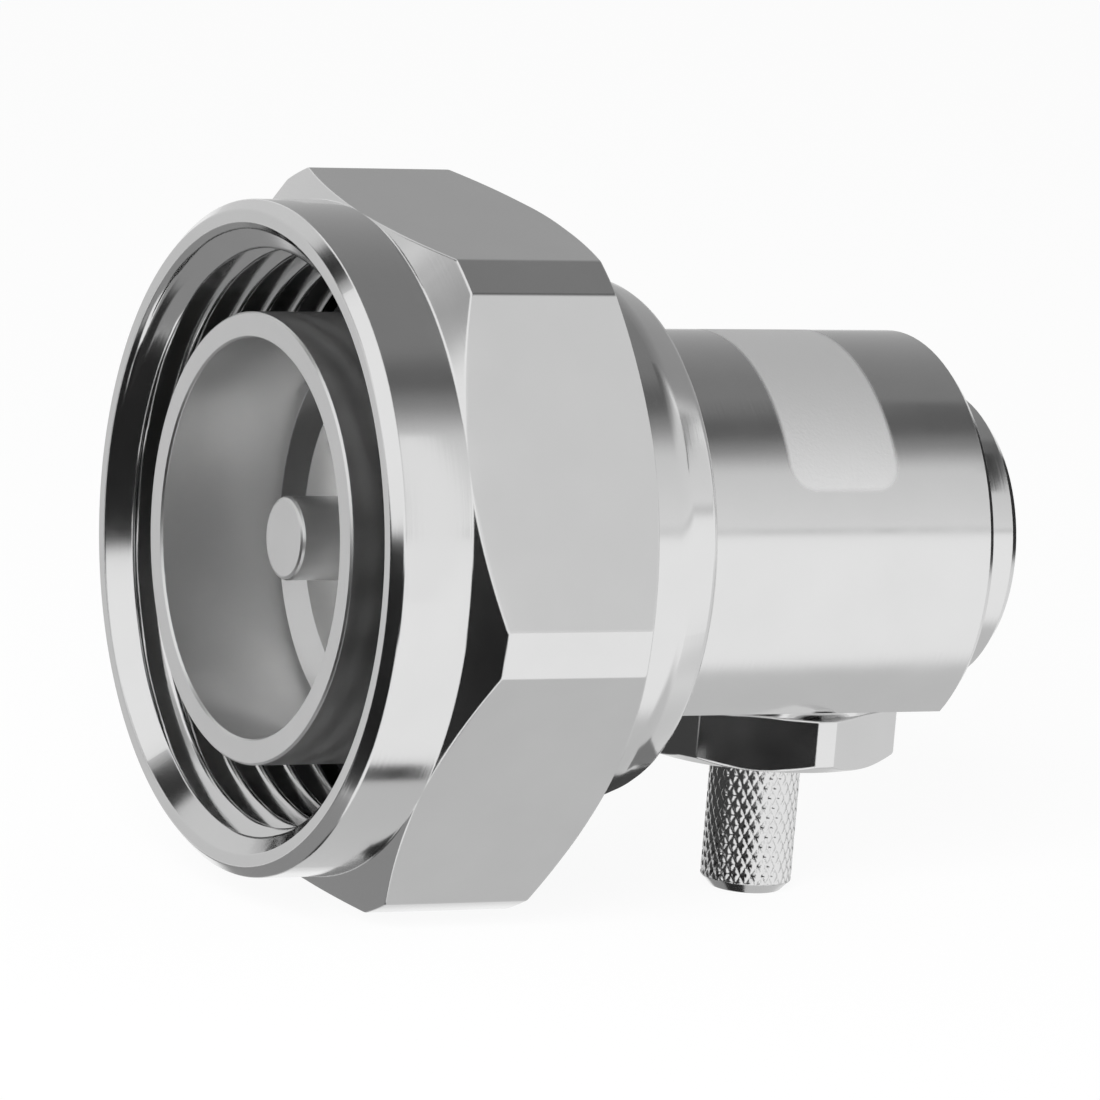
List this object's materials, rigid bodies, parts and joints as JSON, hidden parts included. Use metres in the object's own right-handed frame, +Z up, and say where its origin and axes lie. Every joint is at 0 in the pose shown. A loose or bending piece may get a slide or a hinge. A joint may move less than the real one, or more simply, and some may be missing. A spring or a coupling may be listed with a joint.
{
  "type": "right-angle coaxial plug",
  "caption": "Right-angle coaxial plug: hexagonal coupling nut turning on a round angle housing, centre pin in an outer contact sleeve, and a hexagonal cable bush with a knurled crimp neck.",
  "frame": {"origin": "on the mating axis, in the plane of the outer contact's front rim", "axes": "+X along the mating axis towards the rear of the plug, so that it mates towards -X; +Z up, away from the cable, which leaves towards -Z"},
  "size_m": [0.0387, 0.0356, 0.0344],
  "materials": {
    "plated_brass": "turned brass with white bronze plating, satin",
    "silvered_brass": "turned brass with silver plating",
    "spring_bronze": "rolled spring bronze, bare",
    "fluoropolymer": "turned fluoropolymer, white",
    "silicone": "moulded silicone rubber"
  },
  "bodies": {
    "plug": {"face_gasket": "silicone", "outer_contact": "silvered_brass", "contact_pin": "silvered_brass", "front_insulator": "fluoropolymer", "inner_conductor": "silvered_brass", "angle_housing": "plated_brass", "rear_insulator": "fluoropolymer", "rear_cap": "plated_brass", "cable_bush": "plated_brass"},
    "ring": {"retaining_ring": "spring_bronze"},
    "nut": {"coupling_nut": "plated_brass"}
  },
  "joints": [
    {"name": "nut_float", "type": "slide", "parent": "plug", "child": "ring", "axis": [1, 0, 0], "range_m": [-0.00025, 0.00025]},
    {"name": "nut_turn", "type": "hinge", "parent": "ring", "child": "nut", "pos_m": [0.01655, 0, 0], "axis": [1, 0, 0], "continuous": true}
  ]
}
